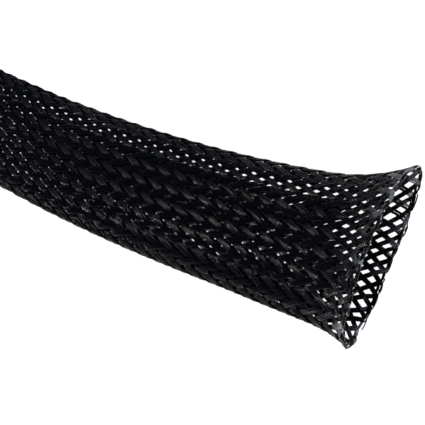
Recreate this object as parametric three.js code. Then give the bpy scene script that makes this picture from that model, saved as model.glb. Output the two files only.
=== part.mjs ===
// Braided cable sleeve: one cut length of expandable monofilament sleeving, lying on a level surface.
// Millimetres, +Z up. The long straight run lies along X, with its cut tail end at the low end of X.
// Towards the other end the sleeve bends gently to the left, fills out, and flares open at its cut mouth.
// The fine braid is not drawn here: the wall is one solid, as thick as two crossing filaments.
// The origin is at the middle of the bounding box, on the surface that the sleeve lies on.

import * as THREE from "three";

// Lengths along the sleeve's middle line
const sleeveLength = 304.8; // one foot, the shortest length that is cut from a spool
const mouthStraight = 22.7; // the straight stretch behind the mouth
const bendLength = 50; // the stretch that bends
const bendRadius = 274;

// The wall, and how far lying down has pressed its underside flat
const wall = 0.5;
const pressedFlat = 0.15;

// The oval section, measured to the middle of the wall. It has two half ovals that meet at the side
// edges: the crown rises above them and the belly hangs below them. All three sizes fall off evenly
// from the mouth to the body, which lies flattened.
const mouthHalfWidth = 10.37;
const bodyHalfWidth = 8.08;
const widestHalf = 9.9; // where handling has widened the cut end
const mouthCrown = 2.97;
const bodyCrown = 0.73;
const mouthBelly = 3.25;
const bodyBelly = 1.3;
const taperEnd = 72; // the body starts this far behind the mouth

// The mouth flares out on top of that. Each flare falls to a third over its reach.
const flareWide = 3.6;
const flareWideReach = 6.6;
const flareHigh = 3.2;
const flareHighReach = 4;

// The flare leans to the left, and the cut is slanted back towards the top
const leanMost = 1.15;
const leanReach = 7;
const rimSetBack = 0.9;

// How finely the surface is divided
const pointsAround = 44;
const tailStep = 57;
const bendStep = 7.5;
const neckStep = 3.3;
const flareStep = 1.1;
const flareLength = 13;

const filamentBlack = new THREE.MeshStandardMaterial({ color: 0x17181b, roughness: 0.38, metalness: 0 });
filamentBlack.name = "black_polyester";

// The section's half width, crown and belly at a distance behind the mouth
function sectionAt(behind) {
  const share = Math.min(behind / taperEnd, 1);
  const width = Math.min(THREE.MathUtils.lerp(mouthHalfWidth, bodyHalfWidth, share), widestHalf);
  const crown = THREE.MathUtils.lerp(mouthCrown, bodyCrown, share);
  return {
    halfWidth: width + flareWide * Math.exp(-behind / flareWideReach),
    crown: crown + flareHigh * Math.exp(-behind / flareHighReach),
    belly: THREE.MathUtils.lerp(mouthBelly, bodyBelly, share),
  };
}

// The middle line seen from above: its place and heading at a distance behind the mouth
function middleLineAt(behind) {
  const tailStraight = sleeveLength - mouthStraight - bendLength;
  const along = sleeveLength - behind;
  const heading = THREE.MathUtils.clamp(along - tailStraight, 0, bendLength) / bendRadius;
  const before = Math.min(along, tailStraight);
  const beyond = Math.max(along - tailStraight - bendLength, 0);
  return {
    x: before + bendRadius * Math.sin(heading) + beyond * Math.cos(heading),
    y: bendRadius * (1 - Math.cos(heading)) + beyond * Math.sin(heading),
    heading,
  };
}

// One ring of points round the wall's outer face (side 1) or inner face (side -1). The wall is half as
// thick again at the side edges, where the strands are folded.
function ringAt(behind, side) {
  const { halfWidth, crown, belly } = sectionAt(behind);
  const { x, y, heading } = middleLineAt(behind);
  const offset = (side * wall) / 2;
  const acrossHalf = halfWidth + (side > 0 ? offset : 2 * offset);
  const edgeHeight = belly + wall / 2 - pressedFlat;
  const floor = side > 0 ? 0 : wall;
  const lean = leanMost * Math.exp(-((behind / leanReach) ** 2));
  const slant = (rimSetBack * Math.exp(-behind / flareHighReach)) / (edgeHeight + crown);
  const ring = [];
  for (let i = 0; i < pointsAround; i++) {
    const turn = ((i + 0.5) / pointsAround) * 2 * Math.PI;
    const rise = (Math.sin(turn) > 0 ? crown : belly) + offset;
    const right = acrossHalf * Math.cos(turn) - lean;
    const up = Math.max(edgeHeight + rise * Math.sin(turn), floor);
    const back = slant * up;
    ring.push([
      x + right * Math.sin(heading) - back * Math.cos(heading),
      y - right * Math.cos(heading) - back * Math.sin(heading),
      up,
    ]);
  }
  return ring;
}

// Distances behind the mouth at which the wall has a ring, from the tail to the mouth
function stations() {
  const bendEnd = mouthStraight + bendLength;
  const stretches = [
    [sleeveLength, bendEnd, tailStep],
    [bendEnd, mouthStraight, bendStep],
    [mouthStraight, flareLength, neckStep],
    [flareLength, 0, flareStep],
  ];
  const list = [];
  for (const [from, to, step] of stretches) {
    const count = Math.max(1, Math.round((from - to) / step));
    for (let i = 0; i < count; i++) {
      list.push(THREE.MathUtils.lerp(from, to, i / count));
    }
  }
  list.push(0);
  return list;
}

// The wall's whole skin: out along its outer face, round the mouth's rim, back along its inner face
function wallGeometry() {
  const along = stations();
  const rings = [
    ...along.map((behind) => ringAt(behind, 1)),
    ...along.toReversed().map((behind) => ringAt(behind, -1)),
  ];
  const faces = [];
  rings.forEach((ring, row) => {
    const nextRow = (row + 1) % rings.length;
    ring.forEach((point, column) => {
      const nextColumn = (column + 1) % pointsAround;
      const a = row * pointsAround + column;
      const b = row * pointsAround + nextColumn;
      const c = nextRow * pointsAround + nextColumn;
      const d = nextRow * pointsAround + column;
      faces.push(a, d, c, a, c, b);
    });
  });
  const geometry = new THREE.BufferGeometry();
  geometry.setAttribute("position", new THREE.Float32BufferAttribute(rings.flat(2), 3));
  geometry.setIndex(faces);
  geometry.computeVertexNormals();
  return geometry;
}

const sleeve = new THREE.Mesh(wallGeometry(), filamentBlack);
sleeve.name = "braided_sleeve";

// Centre the part over the origin, on the surface that it lies on
const bounds = new THREE.Box3().setFromObject(sleeve);
const middle = bounds.getCenter(new THREE.Vector3());
sleeve.position.set(-middle.x, -middle.y, -bounds.min.z);

const part = new THREE.Group();
part.add(sleeve);
export default part;
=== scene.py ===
# Braided cable sleeve: every filament of the braid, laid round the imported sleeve

import math

import bpy
import numpy as np
from mathutils import Matrix, Vector


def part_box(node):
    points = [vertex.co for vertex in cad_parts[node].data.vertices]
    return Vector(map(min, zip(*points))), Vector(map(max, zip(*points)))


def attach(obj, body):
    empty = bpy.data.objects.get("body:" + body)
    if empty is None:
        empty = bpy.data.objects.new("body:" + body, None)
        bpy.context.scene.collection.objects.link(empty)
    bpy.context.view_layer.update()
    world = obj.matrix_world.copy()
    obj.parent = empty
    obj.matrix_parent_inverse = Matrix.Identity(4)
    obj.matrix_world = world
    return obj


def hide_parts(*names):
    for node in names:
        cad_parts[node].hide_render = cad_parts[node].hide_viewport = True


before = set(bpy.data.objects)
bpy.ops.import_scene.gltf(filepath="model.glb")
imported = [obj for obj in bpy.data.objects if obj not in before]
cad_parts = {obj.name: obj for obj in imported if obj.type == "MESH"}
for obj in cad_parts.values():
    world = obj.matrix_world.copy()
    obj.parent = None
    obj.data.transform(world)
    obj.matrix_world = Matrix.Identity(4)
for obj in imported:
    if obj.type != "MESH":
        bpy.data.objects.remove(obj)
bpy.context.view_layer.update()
mm = 0.001
chance = np.random.default_rng(7)


# Small helpers

def deselectAll():
    bpy.ops.object.select_all(action="DESELECT")


def linearColour(hexCode, alpha=1.0):
    parts = [int(hexCode[i:i + 2], 16) / 255 for i in (1, 3, 5)]
    return [c / 12.92 if c <= 0.04045 else ((c + 0.055) / 1.055) ** 2.4 for c in parts] + [alpha]


def addNode(material, kind, settings=None, inputs=None, links=None):
    node = material.node_tree.nodes.new(kind)
    for name, value in (settings or {}).items():
        setattr(node, name, value)
    for name, value in (inputs or {}).items():
        node.inputs[name].default_value = value
    for name, source in (links or {}).items():
        material.node_tree.links.new(source, node.inputs[name])
    return node


def newMaterial(name):
    material = bpy.data.materials.new(name)
    material.use_nodes = True
    material.node_tree.nodes.clear()
    return material


# The tube that the braid follows: its middle line and its oval section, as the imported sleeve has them.
# Lengths are in millimetres

tube = {
    "length": 304.8,
    "mouthStraight": 22.7,  # straight stretch behind the mouth
    "bendLength": 50,
    "bendRadius": 274,
    "wall": 0.5,
    "pressedFlat": 0.15,
    "taperEnd": 72,  # the section stays the same beyond this
    "halfWidth": (10.37, 8.08),  # on the taper's line at the mouth, and at the taper's end
    "widest": 9.9,
    "crown": (2.97, 0.73),  # height of the top above the side edges
    "belly": (3.25, 1.3),  # depth of the underside below them
    "flareWide": 3.6,
    "flareWideReach": 6.6,
    "flareHigh": 3.2,
    "flareHighReach": 4,
    "leanMost": 1.15,  # the mouth leans to the left
    "leanReach": 7,
    "rimSetBack": 0.9,
    "stationStep": 0.5,
    "overhang": 2,  # the grid runs this far past both ends
    "pointsMeasured": 1441,  # round each ring, to measure it
    "pointsRound": 320,  # round each ring in the grid
}


def taper(ends, behind):
    return ends[0] + (ends[1] - ends[0]) * np.clip(behind / tube["taperEnd"], 0, 1)


def middleLineAt(behind):
    radius = tube["bendRadius"]
    straight = tube["length"] - tube["mouthStraight"] - tube["bendLength"]
    along = tube["length"] - behind
    heading = np.clip(along - straight, 0, tube["bendLength"]) / radius
    beyond = np.maximum(along - straight - tube["bendLength"], 0)
    x = np.minimum(along, straight) + radius * np.sin(heading) + beyond * np.cos(heading)
    y = radius * (1 - np.cos(heading)) + beyond * np.sin(heading)
    return x, y, heading


# Points on the middle of the wall. A turn of 0 is the top, and it grows to the right
def ringPoints(behind, turn):
    halfWidth = min(taper(tube["halfWidth"], behind), tube["widest"])
    halfWidth += tube["flareWide"] * np.exp(-behind / tube["flareWideReach"])
    flare = np.exp(-behind / tube["flareHighReach"])
    crown = taper(tube["crown"], behind) + tube["flareHigh"] * flare
    belly = taper(tube["belly"], behind)
    x, y, heading = middleLineAt(behind)
    edgeHeight = belly + tube["wall"] / 2 - tube["pressedFlat"]
    lean = tube["leanMost"] * np.exp(-(behind / tube["leanReach"]) ** 2)
    right = halfWidth * np.sin(turn) - lean
    rise = np.where(np.cos(turn) > 0, crown, belly) * np.cos(turn)
    up = np.maximum(edgeHeight + rise, tube["wall"] / 2)
    back = tube["rimSetBack"] * flare * up / (edgeHeight + crown)
    return np.stack([
        x + right * np.sin(heading) - back * np.cos(heading),
        y - right * np.cos(heading) - back * np.sin(heading),
        up,
    ], axis=-1)


# A grid of points on the tube: rows behind the mouth, and columns evenly round it from the top
def tubeGrid():
    turn = np.linspace(0, 2 * np.pi, tube["pointsMeasured"])
    rows, rounds = [], []
    stations = np.arange(-tube["overhang"], tube["length"] + tube["overhang"], tube["stationStep"])
    for behind in stations:
        ring = ringPoints(behind, turn)
        steps = np.concatenate([[0], np.cumsum(np.linalg.norm(np.diff(ring, axis=0), axis=1))])
        even = np.linspace(0, steps[-1], tube["pointsRound"], endpoint=False)
        rows.append(np.stack([np.interp(even, steps, ring[:, k]) for k in range(3)], axis=1))
        rounds.append(steps[-1])
    return stations, np.array(rows), np.array(rounds)


stations, surface, distanceRound = tubeGrid()
alongStep = np.gradient(surface, axis=0)
roundStep = np.roll(surface, -1, axis=1) - np.roll(surface, 1, axis=1)
outward = np.cross(roundStep, alongStep)
outward /= np.linalg.norm(outward, axis=2, keepdims=True)
if outward[len(stations) // 2, 0, 2] < 0:
    outward = -outward
print("tube laid out:", len(stations), "stations, round the body", round(float(distanceRound[-1]), 2), "mm")


# Reads a grid at places given by distance behind the mouth and share of a turn round from the top
def readGrid(grid, behind, around):
    lastRow = len(stations) - 1.001  # just short of the last, so that there is always a next one
    row = np.clip((behind - stations[0]) / tube["stationStep"], 0, lastRow)
    column = np.mod(around, 1) * tube["pointsRound"]
    r, c = row.astype(int), column.astype(int) % tube["pointsRound"]
    nextC = (c + 1) % tube["pointsRound"]
    rowShare, columnShare = (row - r)[:, None], (column - np.floor(column))[:, None]
    nearer = grid[r, c] * (1 - columnShare) + grid[r, nextC] * columnShare
    further = grid[r + 1, c] * (1 - columnShare) + grid[r + 1, nextC] * columnShare
    return nearer * (1 - rowShare) + further * rowShare


# The braid: strands of filaments that run round both ways, each over two and under two

braid = {
    "strands": 32,  # each way
    "filaments": 4,  # in a strand, side by side
    "filament": 0.212,  # diameter
    "pitch": 0.198,  # from one filament of a strand to the next
    "turnLength": 100.3,  # length of strand in one turn round the tube
    "lift": 0.11,  # how far a float lies outside the middle of the wall
    "steepness": 3.2,  # how quickly a strand drops from over to under
    "squeeze": 0.06,  # share of its width that a strand loses where it drops
    "gather": 0.09,  # share of it taken off at the rim, because the flare's slant spreads the filaments
    "stagger": 0.005,  # how far filaments lie above and below the strand's middle by turns
    "floatAt": 27.09,  # a float of the top row is here, behind the mouth
    "rowAt": -0.457,  # how far right of the top's middle that row is at the mouth
    "rowDrift": -0.0055,  # and how much further for each millimetre behind it
    "fineBehind": 82,  # finer rings up to here
    "closestRings": 0.04,
    "wander": 0.03,  # how far strands stray sideways
    "mouthWander": 0.13,  # and how much further at the mouth
    "wanderWaves": (5.3, 9.1, 17.7),  # lengths of the waves that the straying is made of
    "ownWander": 0.08,  # share of it by which a filament strays within its strand
    "rimWidth": 0.35,  # the cut ends lie over each other in a rim this wide
    "curl": (0.9, 2.2),  # how far a cut end runs along the rim
    "strayShare": 0.025,  # share of the ends that stick out of the rim instead
    "strayOut": (0.4, 1.6),  # how far those stick out
    "strayCurl": 0.1,
    "pointLength": 0.1,  # share of the last ring's distance that the point of a cut end takes
    "pointWidth": 0.05,  # share of the filament's width that is left at the point
    "whitening": 0.8,  # how far behind its cut end a filament is whitened
}
strandCount = braid["strands"]
turnsPerMm = 1 / np.sqrt(braid["turnLength"] ** 2 - distanceRound ** 2)
turned = np.concatenate([[0], np.cumsum((turnsPerMm[1:] + turnsPerMm[:-1]) / 2 * np.diff(stations))])
turned -= np.interp(0, stations, turned)
startRight = np.interp(braid["floatAt"], stations, turned)
startLeft = -startRight - 0.5 / strandCount


# Over (1) or under (-1): four crossings make one wave
def weave(number):
    steep = braid["steepness"]
    return np.tanh(steep * np.cos((number - 0.5) * np.pi / 2)) / np.tanh(steep)


# Where a wave gets its rings, in crossings: finer in the stretch that is seen close
coarseRings = (-0.25, 1.25, 1.75, 3.25)
fineRings = (-0.3, -0.05, 1.05, 1.3, 1.5, 1.7, 1.95, 3.05, 3.3, 3.5)


# The distances behind the mouth at which a strand's filaments get a ring. They are chosen by crossing
# number, which counts the strands of the other way that this one has crossed
def ringsAlong(side, strand, cutAt):
    across = 2 * strand + side * strandCount * (startRight - startLeft)
    first, last = (
        across - side * 2 * strandCount * np.interp(end, stations, turned) for end in (cutAt, tube["length"])
    )
    low, high = sorted((first, last))
    numbers = [first, last]
    for wave in range(math.floor(low / 4) - 1, math.ceil(high / 4) + 1):
        middle = np.interp((across - wave * 4 - 2) * side / (2 * strandCount), turned, stations)
        rings = fineRings if middle < braid["fineBehind"] else coarseRings
        numbers += [wave * 4 + ring for ring in rings if low < wave * 4 + ring < high]
    turnedThere = (across - np.array(numbers)) * side / (2 * strandCount)
    behind = np.sort(np.interp(turnedThere, turned, stations))
    return behind[np.concatenate([[True], np.diff(behind) > braid["closestRings"]])]


# How far a strand strays sideways from its even place: slow waves with their own phases
def strayAlong(behind, phases):
    most = braid["wander"] + braid["mouthWander"] * np.exp(-behind / tube["flareWideReach"])
    pairs = zip(braid["wanderWaves"], phases)
    waves = sum(np.sin(2 * np.pi * (behind / length + phase)) for length, phase in pairs)
    return most * waves / 1.5  # the three seldom add up to more than that


# The three points that shape a cut end, outermost first: how far along the rim they are as shares of its
# curl, how far past the cut, and what share of the filament's height they keep
endCurl = np.array([1.0, 0.62, 0.25])
endPast = np.array([0.1, 0.14, 0.09])
endHeight = np.array([0.5, 0.8, 1.0])


# One filament's route. side 1 runs to the right on its way to the mouth, and -1 to the left
def filamentRoute(side, strand, place, strandPhases, filamentPhases, cutAt, curl):
    behind = ringsAlong(side, strand, cutAt)
    start = startRight if side > 0 else startLeft
    other = startLeft if side > 0 else startRight
    circle = np.interp(behind, stations, distanceRound)
    steep = np.arcsin(circle / braid["turnLength"])
    turnedHere = side * np.interp(behind, stations, turned)
    number = 2 * strand + strandCount * (start - other - 2 * turnedHere)
    dropping = 1 - weave(number) ** 2
    offset = (place - (braid["filaments"] - 1) / 2) * braid["pitch"] * (1 - braid["squeeze"] * dropping)
    offset *= 1 - braid["gather"] * np.exp(-behind / tube["flareWideReach"])
    offset += strayAlong(behind, strandPhases) + braid["ownWander"] * strayAlong(behind, filamentPhases)
    rowShift = (braid["rowAt"] + braid["rowDrift"] * behind) / circle
    around = strand / strandCount - turnedHere + start + offset * np.cos(steep) / circle
    behind = behind + side * offset * np.sin(steep)
    crossed = strandCount * (around - side * np.interp(behind, stations, turned) - other)
    height = side * braid["lift"] * weave(strand + crossed) + braid["stagger"] * (-1) ** place
    around = around + rowShift
    # the cut end turns along the rim
    behind = np.concatenate([behind[0] - endPast * min(curl, 1), behind])
    around = np.concatenate([around[0] + side * curl * endCurl / circle[0], around])
    height = np.concatenate([height[0] * endHeight, height])
    return readGrid(surface, behind, around) + readGrid(outward, behind, around) * height[:, None], behind


# The tube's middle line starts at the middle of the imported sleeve's cut tail face
lowCorner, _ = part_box("braided_sleeve")
tailPlane = lowCorner.x + 0.01 * mm
tailFace = [v.co.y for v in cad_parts["braided_sleeve"].data.vertices if v.co.x < tailPlane]
tailStart = Vector((lowCorner.x, (min(tailFace) + max(tailFace)) / 2, 0))


# A bundle of strands as one mesh. Each vertex keeps its place along its filament, the filament's own
# shade, and how near it is to the filament's cut end
def filamentBundle(name, side, strandNumbers):
    curve = bpy.data.curves.new(name, "CURVE")
    curve.dimensions = "3D"
    curve.bevel_depth = braid["filament"] / 2 * mm
    curve.bevel_resolution = 1
    along, shade, cut = [], [], []
    for strand in strandNumbers:
        strandPhases = chance.random(3)
        for place in range(braid["filaments"]):
            cutAt = chance.uniform(0, braid["rimWidth"])
            curl = chance.uniform(*braid["curl"])
            if chance.random() < braid["strayShare"]:
                cutAt, curl = -chance.uniform(*braid["strayOut"]), braid["strayCurl"]
            route, behind = filamentRoute(side, strand, place, strandPhases, chance.random(3), cutAt, curl)
            # an end ring drawn in to a point closes each cut end
            tip = route[0] + braid["pointLength"] * (route[0] - route[1])
            butt = route[-1] + braid["pointLength"] * (route[-1] - route[-2])
            route = np.vstack([tip, route, butt]) * mm + np.array(tailStart)
            behind = np.concatenate([behind[:1], behind, behind[-1:]])
            radius = np.ones(len(route))
            radius[0] = radius[-1] = braid["pointWidth"]
            spline = curve.splines.new("POLY")
            spline.points.add(len(route) - 1)
            spline.points.foreach_set("co", np.column_stack([route, np.ones(len(route))]).ravel())
            spline.points.foreach_set("radius", radius)
            along.append(behind)
            shade.append(np.full(len(behind), chance.random()))
            cut.append(np.exp(-(behind - cutAt) / braid["whitening"]))
    piece = bpy.data.objects.new(name, curve)
    bpy.context.collection.objects.link(piece)
    deselectAll()
    piece.select_set(True)
    bpy.context.view_layer.objects.active = piece
    bpy.ops.object.convert(target="MESH")
    bpy.ops.object.shade_smooth_by_angle(angle=math.radians(70))
    mesh = piece.data
    sides = len(mesh.vertices) // sum(len(rings) for rings in along)
    for label, values in (("alongFilament", along), ("filamentShade", shade), ("cutEnd", cut)):
        attribute = mesh.attributes.new(label, "FLOAT", "POINT")
        attribute.data.foreach_set("value", np.repeat(np.concatenate(values), sides))
    return piece


# Patterns that run along a filament are sized for each millimetre of it, and the white patches at the cut
# ends for each metre
polyesterLook = {
    "blacks": ("#090c12", "#11161f"),
    "blackSpread": (0.35, 0.7),  # the part of the drift pattern between the two blacks
    "driftScale": 0.35,
    "ownPattern": 90,  # how far apart in the patterns filaments of different shade lie
    "gloss": (0.06, 0.3),  # roughness of the glossiest and the dullest filament
    "endPatchScale": 480,
    "endPatchRange": (0.54, 0.6),  # the part of the patch pattern where black turns white
    "endPatchWhite": "#eff1f3",
    "waveScale": 1.0,
    "waveStrength": 0.05,
    "waveHeight": 0.00002,
    "refraction": 1.57,
}


# Drawn polyester monofilament, black: smooth and glossy, each filament a little different from the next
def drawnPolyester():
    look = polyesterLook
    material = newMaterial("drawnPolyesterMonofilament")
    along = addNode(material, "ShaderNodeAttribute", {"attribute_name": "alongFilament"})
    shade = addNode(material, "ShaderNodeAttribute", {"attribute_name": "filamentShade"})
    cut = addNode(material, "ShaderNodeAttribute", {"attribute_name": "cutEnd"})
    own = addNode(material, "ShaderNodeMath", {"operation": "MULTIPLY"}, {1: look["ownPattern"]},
                  {0: shade.outputs["Fac"]})
    place = addNode(material, "ShaderNodeCombineXYZ",
                    links={"X": along.outputs["Fac"], "Y": own.outputs["Value"]})
    # slow change of depth along each filament, about 3 mm long
    drift = addNode(material, "ShaderNodeTexNoise", inputs={"Scale": look["driftScale"], "Detail": 3},
                    links={"Vector": place.outputs["Vector"]})
    black = addNode(material, "ShaderNodeValToRGB", links={"Fac": drift.outputs["Fac"]})
    for stop, position, hexCode in zip(black.color_ramp.elements, look["blackSpread"], look["blacks"]):
        stop.position = position
        stop.color = linearColour(hexCode)
    # each filament has a gloss of its own, so that the lines of light on a float differ
    gloss = addNode(material, "ShaderNodeMapRange",
                    inputs={"To Min": look["gloss"][0], "To Max": look["gloss"][1]},
                    links={"Value": shade.outputs["Fac"]})
    # the filaments are whitened in patches near their cut ends, one in each 2 to 3 mm of the rim
    where = addNode(material, "ShaderNodeTexCoord")
    endPatchNoise = addNode(material, "ShaderNodeTexNoise", inputs={"Scale": look["endPatchScale"], "Detail": 2},
                   links={"Vector": where.outputs["Object"]})
    patchy = addNode(material, "ShaderNodeMapRange",
                     inputs={"From Min": look["endPatchRange"][0], "From Max": look["endPatchRange"][1]},
                     links={"Value": endPatchNoise.outputs["Fac"]})
    white = addNode(material, "ShaderNodeMath", {"operation": "MULTIPLY"},
                    links={0: patchy.outputs["Result"], 1: cut.outputs["Fac"]})
    # inputs 6 and 7 are the two colours of a colour mix
    colour = addNode(material, "ShaderNodeMix", {"data_type": "RGBA"}, {7: linearColour(look["endPatchWhite"])},
                     {0: white.outputs["Value"], 6: black.outputs["Color"]})
    rough = addNode(material, "ShaderNodeMath", {"operation": "ADD", "use_clamp": True},
                    links={0: gloss.outputs["Result"], 1: white.outputs["Value"]})
    # faint waviness from the drawing, about 1 mm long
    waves = addNode(material, "ShaderNodeTexNoise", inputs={"Scale": look["waveScale"], "Detail": 1},
                    links={"Vector": place.outputs["Vector"]})
    bump = addNode(material, "ShaderNodeBump",
                   inputs={"Strength": look["waveStrength"], "Distance": look["waveHeight"]},
                   links={"Height": waves.outputs["Fac"]})
    shader = addNode(material, "ShaderNodeBsdfPrincipled", inputs={"IOR": look["refraction"]}, links={
        "Base Color": colour.outputs[2],
        "Roughness": rough.outputs["Value"],
        "Normal": bump.outputs["Normal"],
    })
    addNode(material, "ShaderNodeOutputMaterial", links={"Surface": shader.outputs["BSDF"]})
    return material


polyester = drawnPolyester()
groupSize = 8
for side, word in ((1, "right"), (-1, "left")):
    for first in range(0, strandCount, groupSize):
        name = f"{word}_strands_{first // groupSize + 1}"
        piece = filamentBundle(name, side, range(first, min(first + groupSize, strandCount)))
        piece.data.materials.append(polyester)
        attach(piece, "root")
        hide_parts("braided_sleeve")
        print(name, "triangles:", sum(len(face.vertices) - 2 for face in piece.data.polygons))


# Floor, light and camera. Directions are seen from the mouth, x out of it

studio = {
    "floorSize": 6,
    "floorWhite": "#ffffff",
    "floorGlow": 1.0,
    "room": "#363b46",
    "lightDistance": 1.0,
    "keyFrom": (-0.71, -0.47, 0.53),
    "keySize": 0.1,
    "keyWatts": 1.6,
    "fillFrom": (-0.19, 0.88, 0.44),
    "fillSize": 0.2,
    "fillWatts": 0.15,
}


def paleFloor():
    bpy.ops.mesh.primitive_plane_add(size=studio["floorSize"], location=(0, 0, 0))
    floor = bpy.context.object
    floor.name = "floor"
    # matt white that glows a little by itself, so that it stays even and pale under the sleeve
    material = newMaterial("matWhiteFloor")
    shader = addNode(material, "ShaderNodeBsdfPrincipled", inputs={
        "Base Color": linearColour(studio["floorWhite"]),
        "Roughness": 0.9,
        "Emission Color": linearColour(studio["floorWhite"]),
        "Emission Strength": studio["floorGlow"],
    })
    addNode(material, "ShaderNodeOutputMaterial", links={"Surface": shader.outputs["BSDF"]})
    floor.data.materials.append(material)


# Where the mouth's middle is, and the way it faces
mouthX, mouthY, mouthHeading = middleLineAt(0.0)
mouth = tailStart + Vector((float(mouthX), float(mouthY), 0)) * mm
mouthTurn = Matrix.Rotation(float(mouthHeading), 3, "Z")

view = {
    "lens": 105.88,
    "distance": 176.72,
    "target": (-26.04, -0.15, 3.0),  # from the mouth's middle
    "elevation": 59.5,
    "turn": -35.36,
    "roll": 17.49,
}


def photoCamera():
    elevation, turn, roll = (math.radians(view[angle]) for angle in ("elevation", "turn", "roll"))
    level = math.cos(elevation)
    back = Vector((level * math.cos(turn), level * math.sin(turn), math.sin(elevation)))
    right = Vector((1, 0, 0)) - back * back.x
    right.normalize()
    up = back.cross(right)
    rolledRight = right * math.cos(roll) + up * math.sin(roll)
    rolledUp = up * math.cos(roll) - right * math.sin(roll)
    place = mouth + mouthTurn @ ((Vector(view["target"]) + back * view["distance"]) * mm)
    camera = bpy.data.objects.new("camera", bpy.data.cameras.new("camera"))
    bpy.context.collection.objects.link(camera)
    camera.data.lens = view["lens"]
    camera.data.sensor_width = 36
    camera.data.clip_start = 0.001
    axes = mouthTurn @ Matrix((rolledRight, rolledUp, back)).transposed()
    camera.matrix_world = Matrix.Translation(place) @ axes.to_4x4()
    bpy.context.scene.camera = camera


def softLight(name, direction, size, watts):
    light = bpy.data.objects.new(name, bpy.data.lights.new(name, "AREA"))
    bpy.context.collection.objects.link(light)
    light.data.shape = "DISK"
    light.data.size = size
    light.data.energy = watts
    toward = mouthTurn @ Vector(direction).normalized()
    light.location = toward * studio["lightDistance"]
    light.rotation_euler = toward.to_track_quat("Z", "Y").to_euler()


def studioSet():
    world = bpy.data.worlds.new("studio")
    world.use_nodes = True
    world.node_tree.nodes["Background"].inputs["Color"].default_value = linearColour(studio["room"])
    bpy.context.scene.world = world
    bpy.context.scene.view_settings.view_transform = "Standard"
    # both lights stand where the strands that run to the right mirror them to the camera
    softLight("keyLight", studio["keyFrom"], studio["keySize"], studio["keyWatts"])
    softLight("fillLight", studio["fillFrom"], studio["fillSize"], studio["fillWatts"])
    print("studio set")


paleFloor()
photoCamera()
studioSet()
